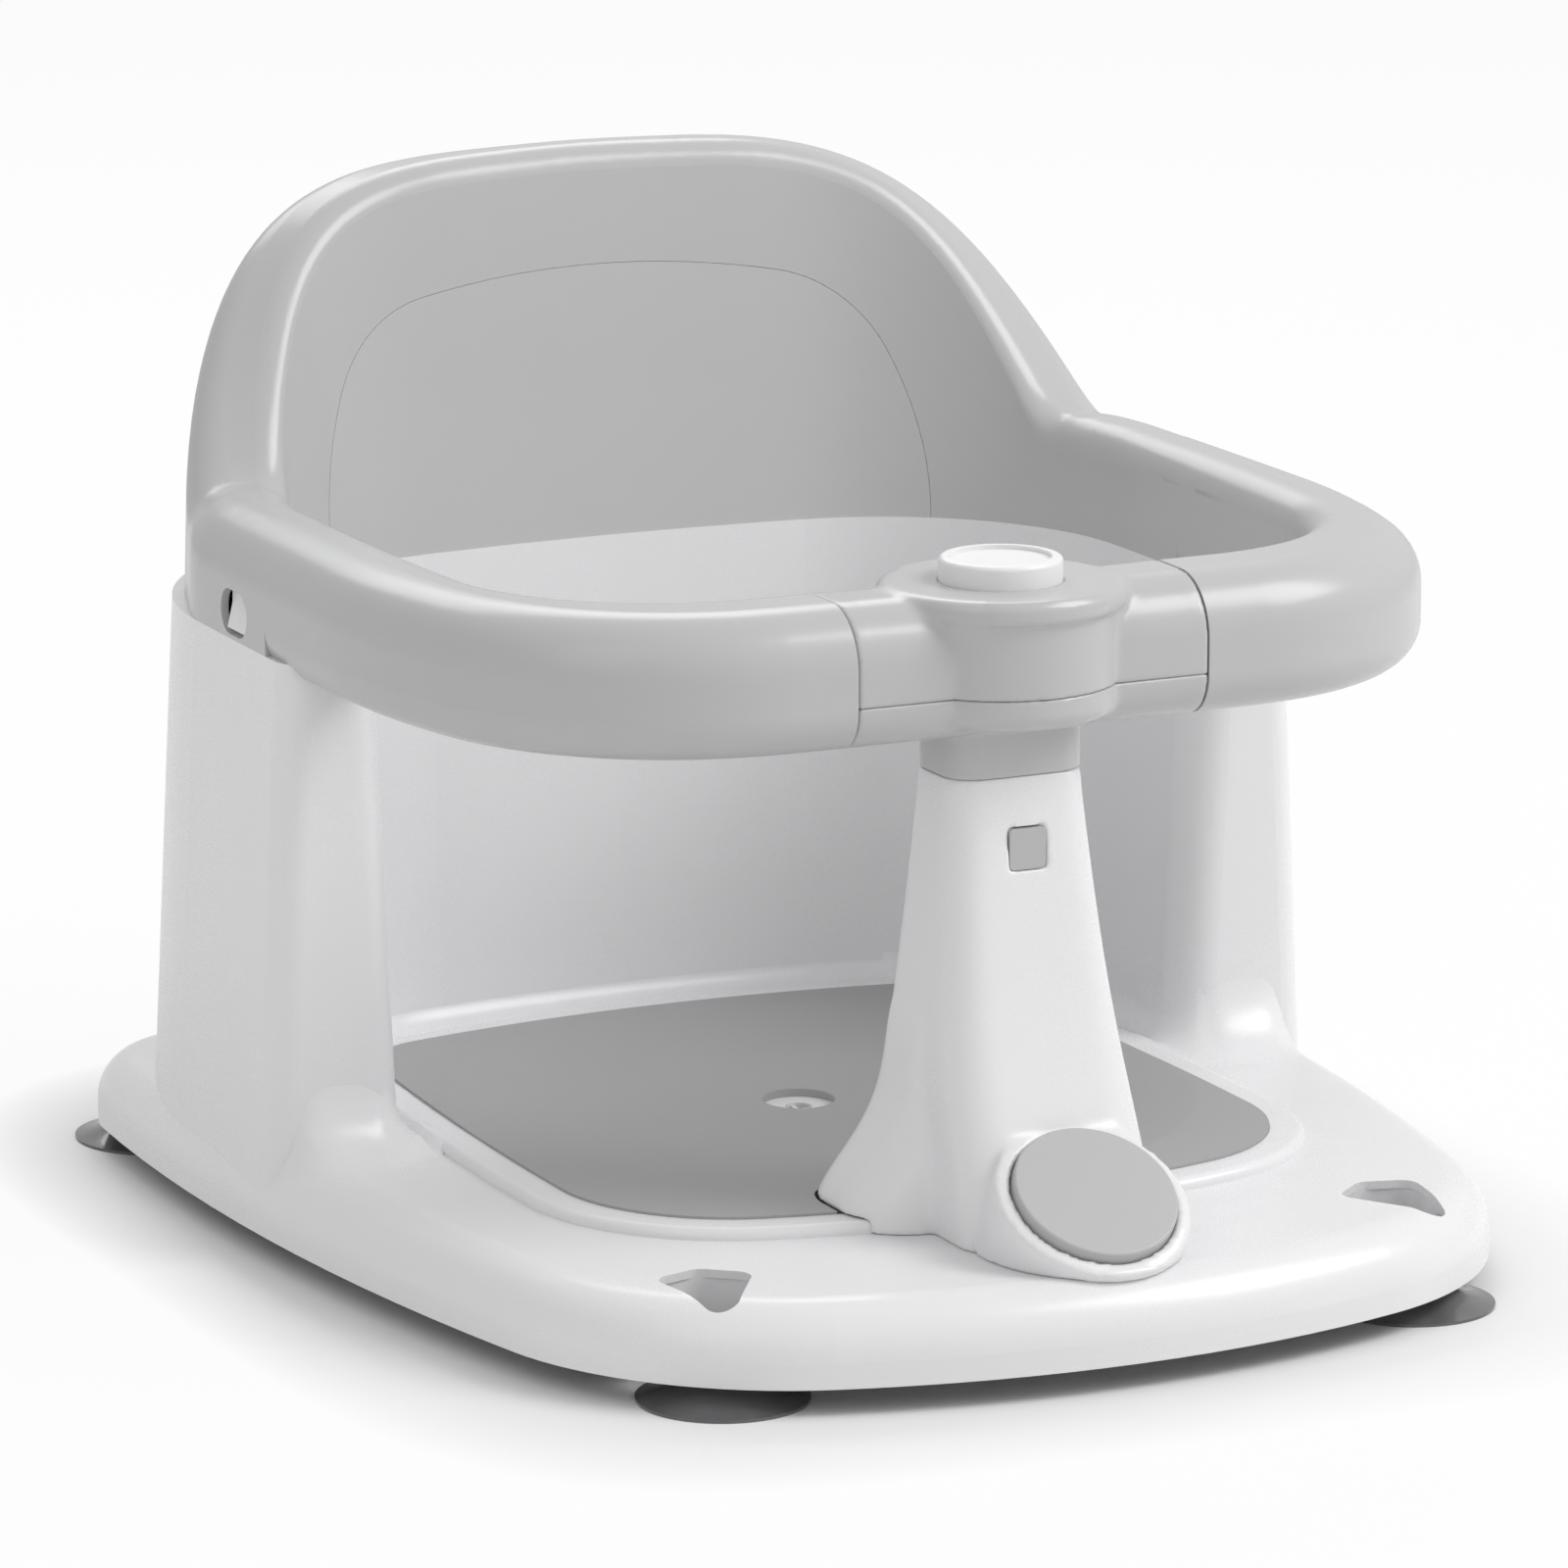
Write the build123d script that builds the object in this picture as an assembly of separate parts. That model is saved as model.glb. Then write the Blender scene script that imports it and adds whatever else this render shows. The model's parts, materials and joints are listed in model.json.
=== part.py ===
from build123d import *
import math
import os

# All sizes in millimetres. X is to the right, Y to the rear, Z up, floor of the bath at Z 0.

# Fits and walls
WALL = 2.5
FIT = 0.15
SLIDE_FIT = 0.08
SEAM = 0.35

# Outlines as half width, place of the widest point, then the radii of the arcs from front to rear
BASE = dict(hw=180.7, yw=73.0, side=958.0, yf=-216.0, front=307.5, fc=100.7, yr=216.0, rear=400.0, rc=36.6)
RING = dict(hw=170.6, yw=-13.0, side=263.0, yf=-145.6, front=3000.0, fc=90.0, yr=201.0, rear=4000.0,
            rc=115.0, side_rear=4000.0)
WELL = dict(hw=138.1, yw=35.3, side=1215.0, yf=-104.5, front=3000.0, fc=60.6, yr=153.4, rear=564.0, rc=81.2)
MAT = dict(hw=115.5, yw=-45.6, side=1500.0, yf=-126.8, front=297.5, fc=55.0, yr=123.2, rear=418.0, rc=27.1)

# Heights
SKIRT_BOTTOM = 8.0
RIDGE_FOOT = 20.0
DECK = 31.5
MAT_BED = 28.5
RIDGE_TOP = 35.0
RIDGE_WIDTH = 11.0
RIDGE_ROUND = 3.0
WALL_TOP = 184.0
ARM_BOTTOM = 178.0
SPLIT = 191.8
ARM_TOP = 220.0
BACK_TOP = 307.5

# Roundings
SHOULDER = 16.0
ARM_TOP_OUT = 18.0
ARM_TOP_IN = 10.0
ARM_LOW_OUT = 13.0
ARM_LOW_IN = 11.0

# Drafts of the wall and of the backrest in degrees
WALL_DRAFT_OUT = 2.8
WALL_DRAFT_IN = 2.5
BACK_DRAFT_OUT = 1.8
BACK_LEAN_IN = 7.8

# Wall of the base
WALL_FRONT = 12.5
WALL_CORNER_OUT = 9.0
WALL_CORNER_IN = 13.0
RIM_WIDTH = 3.0
RIM_GAP = 0.7
COVER_REAR = 29.0

# Front bar
SEAM_X = 56.7
HUB_Y = -122.0
HUB_R = 35.0
HUB_FLANGE_R = 37.0
HUB_TOP = 221.0
HUB_BOTTOM = 182.0
NECK_HX = 22.3
NECK_HY = 15.8
NECK_R = 10.3
POST_TOP = 165.0
TENON_LENGTH = 10.0
TENON_WIDTH = 14.0

# Push button
BUTTON_R = 18.3
BUTTON_TOP = 228.0
BUTTON_TRAVEL = 4.0
STEM_R = 4.0
STEM_GAP = 2.0
COLLAR = 1.3

# Tongue of the front bar that slides in the post, and the springy latch in front of it
TONGUE_HX = 12.0
TONGUE_HY = 8.0
TONGUE_LENGTH = 45.0
GUIDE_LENGTH = 27.0
LATCH_Z = 144.0
LATCH_HX = 5.9
LATCH_HZ = 6.15
LATCH_FACE = -140.8
LATCH_GAP = 0.25
LEAF_THICK = 2.0
CHANNEL_FRONT = -136.0

# Trunk of the post as upright sections: height, half width, front, rear, corner radius
TRUNK = [(29.0, 31.5, -173.0, -92.0, 14.0), (58.0, 30.6, -165.0, -95.0, 13.5),
         (85.0, 28.8, -154.0, -98.0, 12.5), (115.0, 26.0, -146.0, -101.2, 11.0),
         (143.0, 23.8, -141.0, -104.0, 10.5), (165.0, 22.3, -137.8, -106.2, 10.3)]
# Flare at the foot of the post, in the same way
FLARE = [(29.0, 54.0, -143.0, -88.0, 24.0), (40.0, 50.0, -142.5, -90.0, 22.0),
         (55.0, 39.0, -141.0, -94.0, 17.0), (75.0, 31.0, -138.0, -98.0, 12.0),
         (100.0, 26.0, -134.0, -102.0, 10.0)]

# Round cap on the foot of the post
DISC_Y = -186.0
DISC_Z = 52.0
DISC_R = 24.7
DISC_THICK = 3.0
DISC_TILT = 34.0
BOSS_R = 30.0

BOSS_STEP = 3.0
DISC_GAP = 0.5
SCREW_R = 2.0
SCREW_HEAD_R = 3.6
SCREW_BORE_R = 4.4
POST_SCREW_Y = -168.0

# Small screws
BIT_R = 1.5
BIT_HEAD_R = 2.8
BIT_BOSS_R = 4.2
ARM_SCREWS = [(153.0, -20.0), (75.0, -124.0)]
HUB_SCREW_X = 27.0

# Suction cups
CUP_R = 25.4
CUP_RIM = 2.0
CUP_FRONT = (112.8, -171.5)
CUP_REAR = (154.6, 167.0)
CUP_NECK_R = 5.0
CUP_KNOB_R = 8.0
CUP_PLATE = 10.5
CUP_PLATE_THICK = 3.0
CUP_SOCKET_R = 12.0
CUP_SOCKET_TOP = 27.0
FINGER_HALF = 15.0
FINGER_LENGTH = 46.0
FINGER_ROUND = 7.0
FINGER_PLACE = (113.3, -166.0)

# Drain
DRAIN_Y = 15.0
DRAIN_R = 11.35
DRAIN_HOLE_R = 4.25
MAT_DISH = 5.0
MAT_TOP = 35.8
MAT_FIT = 0.4

# Side catch
CATCH_Y = 55.0
CATCH_Z = 192.3
CATCH_HY = 11.0
CATCH_HZ = 7.0
CATCH_THICK = 2.0
CATCH_WALL = 3.0

# Backrest, with its rise along the rear corner in degrees
BACK_START = 60.0
BACK_STEP = 0.12
BACK_RISE_FROM = 15.5
BACK_RISE_OVER = 31.0
BACK_RISE_POWER = 1.5
BACK_TOP_OUT = 10.0
BACK_TOP_IN = 9.0

# Panel in the backrest, as an outline seen from the front
PANEL = dict(hw=104.7, yw=192.0, side=115.0, yf=114.0, front=338.0, fc=45.0, yr=270.0, rear=338.0, rc=45.0)
PANEL_THICK = 2.5


# Half outline helpers
def meet(c1, r1, c2, r2, high):
    """Point where two circles meet, the higher or the lower one."""
    dx, dy = c2[0] - c1[0], c2[1] - c1[1]
    d = math.hypot(dx, dy)
    a = (r1 * r1 - r2 * r2 + d * d) / (2 * d)
    h = math.sqrt(r1 * r1 - a * a)
    mx, my = c1[0] + a * dx / d, c1[1] + a * dy / d
    p = (mx + h * dy / d, my - h * dx / d)
    q = (mx - h * dy / d, my + h * dx / d)
    return max(p, q, key=lambda s: s[1]) if high else min(p, q, key=lambda s: s[1])


def toward(c, r, s):
    """Point of a circle in the direction of another point."""
    d = math.hypot(s[0] - c[0], s[1] - c[1])
    return (c[0] + (s[0] - c[0]) * r / d, c[1] + (s[1] - c[1]) * r / d)


def mid_arc(c, r, p, q):
    """Point halfway along the short arc from p to q."""
    return toward(c, r, ((p[0] + q[0]) / 2, (p[1] + q[1]) / 2))


def arcs_of(o, grow=0.0):
    """Arcs of the right half from front to rear, as centre, radius, start and end."""
    hw, yf, yr = o["hw"] + grow, o["yf"] - grow, o["yr"] + grow
    sf, sr = o["side"] + grow, o.get("side_rear", o["side"]) + grow
    fr, rr, fc, rc = o["front"] + grow, o["rear"] + grow, o["fc"] + grow, o["rc"] + grow
    front, rear = (0, yf + fr), (0, yr - rr)
    side_f, side_r = (hw - sf, o["yw"]), (hw - sr, o["yw"])
    cf = meet(front, fr - fc, side_f, sf - fc, False)
    cr = meet(rear, rr - rc, side_r, sr - rc, True)
    p1, p2, p3 = toward(front, fr, cf), toward(side_f, sf, cf), (hw, o["yw"])
    p4, p5 = toward(side_r, sr, cr), toward(rear, rr, cr)
    return [(front, fr, (0, yf), p1), (cf, fc, p1, p2), (side_f, sf, p2, p3),
            (side_r, sr, p3, p4), (cr, rc, p4, p5), (rear, rr, p5, (0, yr))]


def outline(o, grow=0.0):
    """Closed outline of tangent arcs, the same left and right, moved outward by grow."""
    arcs = [(p, mid_arc(c, r, p, q), q) for c, r, p, q in arcs_of(o, grow)]
    right = [ThreePointArc(*a) for a in arcs]
    left = [ThreePointArc(*[(-x, y) for x, y in a]) for a in arcs]
    return make_face(right + left)


def reach(o, grow, start, way):
    """Distance from a point inside the right half to the outline, along a unit direction."""
    for c, r, p, q in arcs_of(o, grow):
        dx, dy = start[0] - c[0], start[1] - c[1]
        along = dx * way[0] + dy * way[1]
        inside = along * along - dx * dx - dy * dy + r * r
        if inside < 0:
            continue
        t = -along + math.sqrt(inside)
        x, y = start[0] + t * way[0], start[1] + t * way[1]
        if t > 0 and (q[0] - p[0]) * (y - p[1]) - (q[1] - p[1]) * (x - p[0]) <= 1e-6:
            return t
    raise ValueError("the direction misses the outline")


def slab(o, grow, z0, z1):
    """Straight block over an outline."""
    return Pos(0, 0, z0) * extrude(outline(o, grow), z1 - z0)


def drafted(o, grow0, z0, grow1, z1):
    """Block over an outline that grows or shrinks evenly with height."""
    return loft([Pos(0, 0, z0) * outline(o, grow0), Pos(0, 0, z1) * outline(o, grow1)], ruled=True)


def edges_at(solid, z):
    """Edges that lie flat at one height."""
    return [e for e in solid.edges() if abs(e.bounding_box().min.Z - z) < 0.01
            and abs(e.bounding_box().max.Z - z) < 0.01]


def cyl(r, x, y, z0, z1):
    """Upright cylinder."""
    return Pos(x, y, (z0 + z1) / 2) * Cylinder(r, z1 - z0)


def block(x0, x1, y0, y1, z0, z1):
    """Block between three pairs of limits."""
    return Pos((x0 + x1) / 2, (y0 + y1) / 2, (z0 + z1) / 2) * Box(x1 - x0, y1 - y0, z1 - z0)


def pill(hx, hy, r, x, y, z0, z1):
    """Upright block with rounded corners."""
    return Pos(x, y, z0) * extrude(RectangleRounded(2 * hx, 2 * hy, r), z1 - z0)


# Ring and arms
def ring(inset):
    """Rounded closed ring of the seat, every surface moved inward by inset."""
    low, top = ARM_BOTTOM + inset, ARM_TOP - inset
    outer = fillet(edges_at(slab(RING, -inset, low, top), top), ARM_TOP_OUT - inset)
    outer = fillet(edges_at(outer, low), ARM_LOW_OUT - inset)
    body = outer - slab(WELL, inset, low - 5, top + 5)
    rim = [e for e in edges_at(body, top) if e.center().Y > -160]
    inner_top = [e for e in rim if on_outline(e, WELL, inset)]
    body = fillet(inner_top, ARM_TOP_IN - inset)
    inner_low = [e for e in edges_at(body, low) if on_outline(e, WELL, inset)]
    return fillet(inner_low, ARM_LOW_IN - inset)


def on_outline(edge, o, grow):
    """True for an edge that lies on the wall of an outline."""
    p = edge.position_at(0.5)
    return any(w.distance_to(Vertex(p.X, p.Y, 0)) < 0.05 for w in outline(o, grow).edges())


# Backrest
def ease(t):
    """Smooth step from 0 to 1."""
    t = min(max(t, 0.0), 1.0)
    return t * t * (3 - 2 * t)


def crown(turn):
    """Height of the top edge at a place along the rear corner, in degrees."""
    t = max(turn - BACK_RISE_FROM, 0.0) / BACK_RISE_OVER
    return ARM_TOP + (BACK_TOP - ARM_TOP) * (1 - math.exp(-t ** BACK_RISE_POWER))


def back_section(start, way, turn, outer, inner, top):
    """Closed section of the backrest in an upright plane, with walls moved inward."""
    to_back = ease(turn / 16)
    set_in = (RIM_WIDTH + RIM_GAP) * to_back + BACK_STEP
    inner = inner + BACK_STEP
    low, high = WALL_TOP - 2, crown(turn) - top - BACK_STEP
    lean_out = math.tan(math.radians(BACK_DRAFT_OUT)) * to_back
    lean_in = math.tan(math.radians(BACK_LEAN_IN)) * ease(turn / 30)
    r_out = reach(RING, -set_in - outer, start, way)
    r_in = reach(WELL, inner, start, way)
    blend = ease(turn / 32)
    round_out = ARM_TOP_OUT + (BACK_TOP_OUT - ARM_TOP_OUT) * blend - outer
    round_in = ARM_TOP_IN + (BACK_TOP_IN - ARM_TOP_IN) * blend - inner
    a = (r_out, low)
    b = (r_out - lean_out * (high - low), high)
    c = (r_in + lean_in * (high - low), high)
    d = (r_in, low)
    b1, b2, bm = corner(a, b, c, round_out)
    c1, c2, cm = corner(b, c, d, round_in)
    plane = Plane(origin=(start[0], start[1], 0), x_dir=(way[0], way[1], 0), z_dir=(way[1], -way[0], 0))
    edges = [Line(a, b1), ThreePointArc(b1, bm, b2), Line(b2, c1), ThreePointArc(c1, cm, c2),
             Line(c2, d), Line(d, a)]
    return plane * make_face(edges)


def corner(p, q, s, r):
    """Rounding of the corner q between p and s: its two ends and its middle."""
    u1 = unit(p[0] - q[0], p[1] - q[1])
    u2 = unit(s[0] - q[0], s[1] - q[1])
    half = math.acos(u1[0] * u2[0] + u1[1] * u2[1]) / 2
    t, d = r / math.tan(half), r / math.sin(half)
    m = unit(u1[0] + u2[0], u1[1] + u2[1])
    return ((q[0] + u1[0] * t, q[1] + u1[1] * t), (q[0] + u2[0] * t, q[1] + u2[1] * t),
            (q[0] + m[0] * (d - r), q[1] + m[1] * (d - r)))


def unit(x, y):
    """Vector of length one."""
    d = math.hypot(x, y)
    return (x / d, y / d)


def backrest(outer, inner, top):
    """Backrest and the rear of both arms in one smooth solid."""
    cx, cy = arcs_of(RING)[4][0]
    stations = [((0, BACK_START - 4 + k * (cy - BACK_START + 4) / 5), (1, 0), 0.0) for k in range(5)]
    for turn in (0, 5, 10, 15, 20, 25, 30, 36, 43, 51, 60, 70, 80, 90):
        way = (math.cos(math.radians(turn)), math.sin(math.radians(turn)))
        stations.append(((cx, cy), way, turn))
    per_mm = 180 / math.pi / RING["rc"]
    stations += [((x, cy), (0, 1), 90 + (cx - x) * per_mm) for x in (cx / 2, 0.0)]
    right = [back_section(s, w, t, outer, inner, top) for s, w, t in stations]
    left = [mirror(f, Plane.YZ) for f in reversed(right[:-1])]
    return loft(right + left)



def arm_side(clear):
    """Space of the two arms, without the front bar."""
    return block(-200, 200, -200, 250, 0, 400) - block(-clear, clear, -200, 0, -1, 401)


def upper_solid():
    """Backrest and arms, above the wall of the base and above the split of the arms."""
    arms = ring(0) & block(-200, 200, -200, BACK_START, SPLIT, 300) & arm_side(SEAM_X + SEAM)
    side = slab(RING, 0, WALL_TOP, SPLIT) - slab(WELL, 0, WALL_TOP - 1, SPLIT + 1)
    side = side & block(-200, 200, COVER_REAR, BACK_START, WALL_TOP, SPLIT)
    rear = backrest(0, 0, 0) & block(-200, 200, BACK_START - 3, 250, WALL_TOP, 400)
    return arms + side + rear


def upper_hollow():
    """Space inside the upper shell, open below."""
    arms = ring(WALL) & block(-200, 200, -200, BACK_START, SPLIT - 0.5, 300)
    arms = arms & arm_side(SEAM_X + SEAM + WALL)
    side = slab(RING, -WALL, WALL_TOP - 1, SPLIT) - slab(WELL, WALL, WALL_TOP - 2, SPLIT + 1)
    side = side & block(-200, 200, COVER_REAR + WALL, BACK_START, WALL_TOP - 1, SPLIT)
    rear = backrest(WALL, WALL + PANEL_THICK, WALL)
    rear = rear & block(-200, 200, BACK_START - 1, 250, WALL_TOP - 1, 400)
    return arms, side, rear


def panel_prism(grow):
    """Arched prism of the backrest panel."""
    arch = Plane(origin=(0, 0, 0), x_dir=(1, 0, 0), z_dir=(0, -1, 0)) * outline(PANEL, grow)
    return extrude(arch, 260, dir=(0, 1, 0)) & block(-200, 200, 90, 250, WALL_TOP, 400)


def catch_hole(side, grow):
    """Oval hole in the outer wall of an arm."""
    oval = Plane(origin=(side * 180, CATCH_Y, CATCH_Z), x_dir=(0, 1, 0), z_dir=(side, 0, 0))
    face = SlotOverall(2 * (CATCH_HY + grow), 2 * (CATCH_HZ + grow))
    return extrude(oval * face, -20)


def tenon(side):
    """Upright tenon at the end of an arm, which the front bar drops over."""
    x0, x1 = SEAM_X + SEAM - TENON_LENGTH, SEAM_X + SEAM + WALL
    y = (RING["yf"] + WELL["yf"]) / 2
    return block(min(side * x0, side * x1), max(side * x0, side * x1), y - TENON_WIDTH / 2,
                 y + TENON_WIDTH / 2, SPLIT + 0.5, SPLIT + 17)


def panel_layer():
    """Layer of the inner face of the backrest that the panel takes up."""
    return backrest(0, 0, 0) - backrest(-1, PANEL_THICK, -1)


def upper_shell(whole, layer):
    """Grey shell with the backrest and the upper half of both arms."""
    body = whole
    for part in upper_hollow():
        body = body - part
    body = body - (panel_prism(0) & layer)
    for side in (-1, 1):
        body = body - catch_hole(side, 0)
        body = body + tenon(side)
        for x, y in ARM_SCREWS:
            body = body + (cyl(BIT_BOSS_R, side * x, y, SPLIT, ARM_TOP - WALL) & whole)
            body = body - cyl(BIT_R, side * x, y, SPLIT - 1, SPLIT + 12)
    return body


def backrest_panel(layer):
    """Thin panel let into the inner face of the backrest."""
    return panel_prism(-FIT) & layer


def arm_cover(side):
    """Lower half of one arm."""
    limit = COVER_REAR - FIT
    cut = block(-200, 200, -200, limit, 100, SPLIT) & arm_side(SEAM_X + SEAM)
    half = block(0, 200, -200, 250, 0, 400) if side > 0 else block(-200, 0, -200, 250, 0, 400)
    body = ring(0) & cut & half
    inside = ring(WALL) & arm_side(SEAM_X + SEAM + WALL) & block(-200, 200, -200, limit - WALL, 100, 300)
    body = body - inside
    body = body - block(-200, 200, WALL_FRONT - 2 * FIT, 40, 100, WALL_TOP)
    for x, y in ARM_SCREWS:
        body = body + cyl(BIT_BOSS_R, side * x, y, ARM_BOTTOM + 1, SPLIT)
        body = body - cyl(BIT_R, side * x, y, ARM_BOTTOM - 1, SPLIT + 1)
        body = body - cyl(BIT_HEAD_R + FIT, side * x, y, ARM_BOTTOM - 1, ARM_BOTTOM + 5)
    return body


def bit(x, y, seat, length):
    """Small screw driven upward, its head below the seat."""
    shank = cyl(BIT_R, x, y, seat - 0.5, seat + length)
    head = cyl(BIT_HEAD_R, x, y, seat - 2.0, seat)
    return shank + head - block(x - 1.8, x + 1.8, y - 0.4, y + 0.4, seat - 2.5, seat - 1.2)


def arm_screws(side):
    """Two screws that hold the lower half of an arm."""
    return Compound([bit(side * x, y, ARM_BOTTOM + 5, 18) for x, y in ARM_SCREWS])


# Base
def base_solid(inset):
    """Skirt and deck as one block, every surface moved inward by inset."""
    skirt = slab(BASE, -inset, SKIRT_BOTTOM, DECK - inset)
    return fillet(edges_at(skirt, DECK - inset), SHOULDER - inset)


def wall_solid(inset):
    """Tapered wall round the seat, open to the front."""
    out = math.tan(math.radians(WALL_DRAFT_OUT))
    inn = math.tan(math.radians(WALL_DRAFT_IN))
    low, high = SKIRT_BOTTOM + 2, WALL_TOP - inset
    outer = drafted(RING, (WALL_TOP - low) * out - inset, low, inset * out - inset, high)
    inner = drafted(WELL, inset - (WALL_TOP - low + 5) * inn, low - 5, inset + (5 - inset) * inn, high + 5)
    wall = outer - inner - block(-250, 250, -250, WALL_FRONT + inset, 0, 300)
    upright = [e for e in wall.edges() if e.bounding_box().max.Y < WALL_FRONT + inset + 0.01
               and e.length > 100]
    outside = [e for e in upright if abs(e.center().X) > 155]
    inside = [e for e in upright if abs(e.center().X) < 155]
    wall = fillet(outside, WALL_CORNER_OUT - inset)
    inside = [e for e in wall.edges() if e.bounding_box().max.Y < WALL_FRONT + inset + 0.01
              and e.length > 100 and abs(e.center().X) < 145]
    return fillet(inside, WALL_CORNER_IN - inset)


def cup_places():
    """Centres of the four suction cups with their names."""
    (fx, fy), (rx, ry) = CUP_FRONT, CUP_REAR
    return [("front_left", -fx, fy), ("front_right", fx, fy), ("rear_left", -rx, ry), ("rear_right", rx, ry)]


def finger_hole(side):
    """Rounded triangle above a front cup."""
    w, l = FINGER_HALF, FINGER_LENGTH
    pts = [(0, -l * 0.55), (w, l * 0.28), (0, l * 0.45), (-w, l * 0.28)]
    face = make_face(Polyline(*pts, close=True))
    face = fillet(face.vertices(), FINGER_ROUND * 0.8)
    x, y = FINGER_PLACE
    return extrude(Pos(side * x, y, CUP_PLATE + CUP_PLATE_THICK + 0.5) * Rot(0, 0, side * 12) * face, 30)


def base_body():
    """White moulded base with deck, wall, cup sockets and drain."""
    ridge = slab(MAT, RIDGE_WIDTH, RIDGE_FOOT, RIDGE_TOP)
    ridge = fillet(edges_at(ridge, RIDGE_TOP), RIDGE_ROUND)
    body = base_solid(0) + ridge + wall_solid(0)
    bed_low = MAT_BED - WALL
    under = base_solid(WALL) & block(-250, 250, -250, 250, 0, DECK - WALL)
    under = under - slab(MAT, RIDGE_WIDTH - WALL, bed_low, DECK)
    body = body - under - block(-250, 250, -250, 250, 0, SKIRT_BOTTOM)
    body = body - wall_solid(WALL)
    body = body - slab(MAT, FIT, MAT_BED, RIDGE_TOP + 1)
    for name, x, y in cup_places():
        tube = cyl(CUP_SOCKET_R, x, y, CUP_PLATE, CUP_SOCKET_TOP + WALL)
        bore = cyl(CUP_SOCKET_R - WALL, x, y, CUP_PLATE + CUP_PLATE_THICK, CUP_SOCKET_TOP)
        body = body + (tube & base_solid(0)) - bore
        body = body - cyl(CUP_NECK_R + SLIDE_FIT, x, y, CUP_PLATE - 1, CUP_SOCKET_TOP)
    for side in (-1, 1):
        body = body - finger_hole(side)
        body = body + catch(side)
    body = body - cyl(DRAIN_HOLE_R, 0, DRAIN_Y, 0, DECK)
    web = block(-DRAIN_HOLE_R - 0.5, DRAIN_HOLE_R + 0.5, DRAIN_Y - 0.7, DRAIN_Y + 0.7, bed_low, bed_low + 1.5)
    cross = block(-0.7, 0.7, DRAIN_Y - DRAIN_HOLE_R - 0.5, DRAIN_Y + DRAIN_HOLE_R + 0.5, bed_low, bed_low + 1.5)
    body = body + web + cross
    y = POST_SCREW_Y
    body = body + (cyl(BIT_BOSS_R + 0.6, 0, y, SKIRT_BOTTOM + 3, DECK) & base_solid(0))
    return body - cyl(SCREW_R, 0, y, SKIRT_BOTTOM + 8, DECK + 5)


def catch(side):
    """Snap catch that stands on the rim of the wall inside an arm."""
    x_out = reach(RING, -CATCH_WALL, (0, CATCH_Y), (1, 0))
    tab = block(x_out - CATCH_THICK, x_out, CATCH_Y - CATCH_HY + 3, CATCH_Y + CATCH_HY - 3,
                WALL_TOP - WALL, CATCH_Z + CATCH_HZ)
    low, high = CATCH_Z - CATCH_HZ + 1.5, CATCH_Z + 1.0
    nose = make_face(Polyline((x_out - 0.5, low), (x_out + 2.2, low), (x_out - 0.5, high + 5), close=True))
    nose = extrude(Plane(origin=(0, CATCH_Y, 0), x_dir=(1, 0, 0), z_dir=(0, -1, 0)) * nose, CATCH_HY - 4,
                   both=True)
    solid = tab + nose
    return solid if side > 0 else mirror(solid, Plane.YZ)


def seat_mat():
    """Soft mat with a shallow dish and a drain hole."""
    body = slab(MAT, 0, MAT_BED, MAT_TOP)
    radius = (MAT["hw"] ** 2 + MAT_DISH ** 2) / (2 * MAT_DISH)
    body = body - Pos(0, 0, MAT_TOP - MAT_DISH + radius) * Sphere(radius)
    body = body - cyl(DRAIN_R, 0, DRAIN_Y, 0, 60)
    return body - stack(TRUNK, MAT_FIT) - stack(FLARE, MAT_FIT)


# Front post
def stack(sections, grow):
    """Smooth solid through upright sections, moved outward by grow."""
    faces = []
    for z, hw, yf, yr, r in sections:
        face = RectangleRounded(2 * (hw + grow), yr - yf + 2 * grow, r + grow)
        faces.append(Pos(0, (yf + yr) / 2, z) * face)
    return loft(faces)


def post_outside(grow):
    """Outside of the post from the deck to its top, moved outward by grow."""
    return stack(TRUNK, grow) + stack(FLARE, grow)


def disc_plane(step):
    """Plane of the round cap, moved along its axis by step."""
    tilt = math.radians(DISC_TILT)
    way = (0, -math.sin(tilt), math.cos(tilt))
    return Plane(origin=(0, DISC_Y + way[1] * step, DISC_Z + way[2] * step), x_dir=(1, 0, 0), z_dir=way)


def deck_block(clear):
    """Everything at or below the surface of the deck."""
    low = base_solid(0)
    ridge = slab(MAT, RIDGE_WIDTH, RIDGE_FOOT, RIDGE_TOP)
    ridge = fillet(edges_at(ridge, RIDGE_TOP), RIDGE_ROUND)
    return low + ridge


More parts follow.
